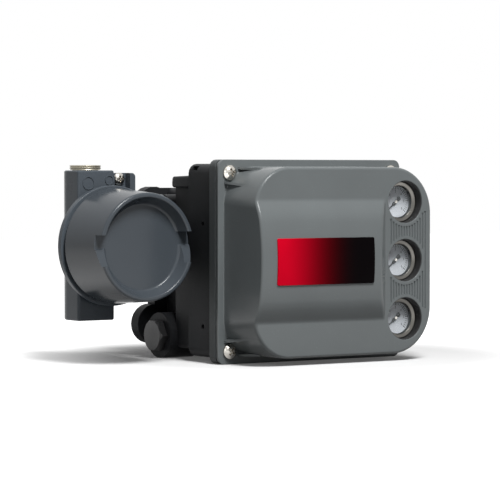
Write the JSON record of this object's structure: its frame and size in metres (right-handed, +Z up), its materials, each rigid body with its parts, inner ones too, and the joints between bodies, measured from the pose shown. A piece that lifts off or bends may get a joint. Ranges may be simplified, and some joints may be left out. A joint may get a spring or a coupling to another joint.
{
  "type": "valve positioner",
  "caption": "Digital valve positioner: cast housing, bulged front cover with round pressure gauges, and a side terminal box with a screwed cap and conduit entries.",
  "frame": {"origin": "centre of the rear mounting face, midway up the cover flange", "axes": "+X to the right seen from the front, +Y out of the rear mounting face, +Z up; the cover and gauges face -Y"},
  "size_m": [0.2566, 0.1703, 0.148],
  "materials": {
    "cover_casting": "satin grey powder coat",
    "dark_casting": "satin dark grey powder coat",
    "cap_casting": "satin blue-grey powder coat",
    "rubber": "matte",
    "stainless": "bright stainless",
    "zinc": "zinc plated",
    "label": "red to black print, satin",
    "dial": "white enamel with scale",
    "pointer": "black enamel",
    "lens": "clear",
    "aluminium": "machined",
    "black_plastic": "moulded",
    "grey_plastic": "moulded",
    "ivory_plastic": "moulded"
  },
  "bodies": {
    "positioner_body": {"housing": "dark_casting", "vent_plug": "black_plastic", "module_base": "cover_casting", "module_base_seal": "rubber", "module_base_screw_1": "stainless", "module_base_screw_2": "stainless", "module_base_screw_3": "stainless", "electronics_module": "grey_plastic", "electronics_lid": "black_plastic", "relay": "aluminium", "relay_screw_1": "stainless", "relay_screw_2": "stainless", "relay_screw_3": "stainless", "ip_converter": "aluminium", "ip_shroud": "black_plastic", "travel_sensor": "grey_plastic", "front_cover": "cover_casting", "cover_seal": "rubber", "cover_screw_1": "stainless", "cover_screw_2": "stainless", "cover_screw_3": "stainless", "cover_screw_4": "stainless", "label_plate": "label", "gauge_case_1": "stainless", "gauge_case_2": "stainless", "gauge_case_3": "stainless", "gauge_dial_1": "dial", "gauge_dial_2": "dial", "gauge_dial_3": "dial", "gauge_lens_1": "lens", "gauge_lens_2": "lens", "gauge_lens_3": "lens", "terminal_box": "dark_casting", "terminal_box_seal": "rubber", "terminal_box_screw": "stainless", "earth_screw_outer": "stainless", "earth_screw_inner": "stainless", "conduit_plug": "zinc", "terminal_block": "ivory_plastic", "terminal_screw_1": "zinc", "terminal_screw_2": "zinc", "terminal_screw_3": "zinc", "terminal_screw_4": "zinc"},
    "pointer_1": {"gauge_pointer_1": "pointer"},
    "pointer_2": {"gauge_pointer_2": "pointer"},
    "pointer_3": {"gauge_pointer_3": "pointer"},
    "adjuster": {"relay_adjuster": "black_plastic"},
    "cap_seal": {"cap_oring": "rubber"},
    "cap": {"terminal_box_cap": "cap_casting", "cap_set_screw": "stainless"}
  },
  "joints": [
    {"name": "pointer_1_turn", "type": "hinge", "parent": "positioner_body", "child": "pointer_1", "pos_m": [0.0569, -0.1481, 0.043], "axis": [0, 1, 0], "range_deg": [0, 260], "stiffness_Nm_per_rad": 0.00002},
    {"name": "pointer_2_turn", "type": "hinge", "parent": "positioner_body", "child": "pointer_2", "pos_m": [0.0569, -0.1481, 0], "axis": [0, 1, 0], "range_deg": [0, 260], "stiffness_Nm_per_rad": 0.00002},
    {"name": "pointer_3_turn", "type": "hinge", "parent": "positioner_body", "child": "pointer_3", "pos_m": [0.0569, -0.1481, -0.043], "axis": [0, 1, 0], "range_deg": [0, 260], "stiffness_Nm_per_rad": 0.00002},
    {"name": "adjuster_turn", "type": "hinge", "parent": "positioner_body", "child": "adjuster", "pos_m": [0.01, -0.1423, -0.026], "axis": [0, 1, 0], "range_deg": [-90, 90]},
    {"name": "cap_travel", "type": "slide", "parent": "positioner_body", "child": "cap_seal", "axis": [0, -1, 0], "range_m": [0, 0.0101]},
    {"name": "cap_unscrew", "type": "hinge", "parent": "cap_seal", "child": "cap", "pos_m": [-0.1306, -0.057, 0.0112], "axis": [0, -1, 0], "range_deg": [0, 1800]}
  ],
  "couplings": [
    {"joint": "cap_travel", "follows": "cap_unscrew", "m_per_rad": 0.00031831}
  ]
}
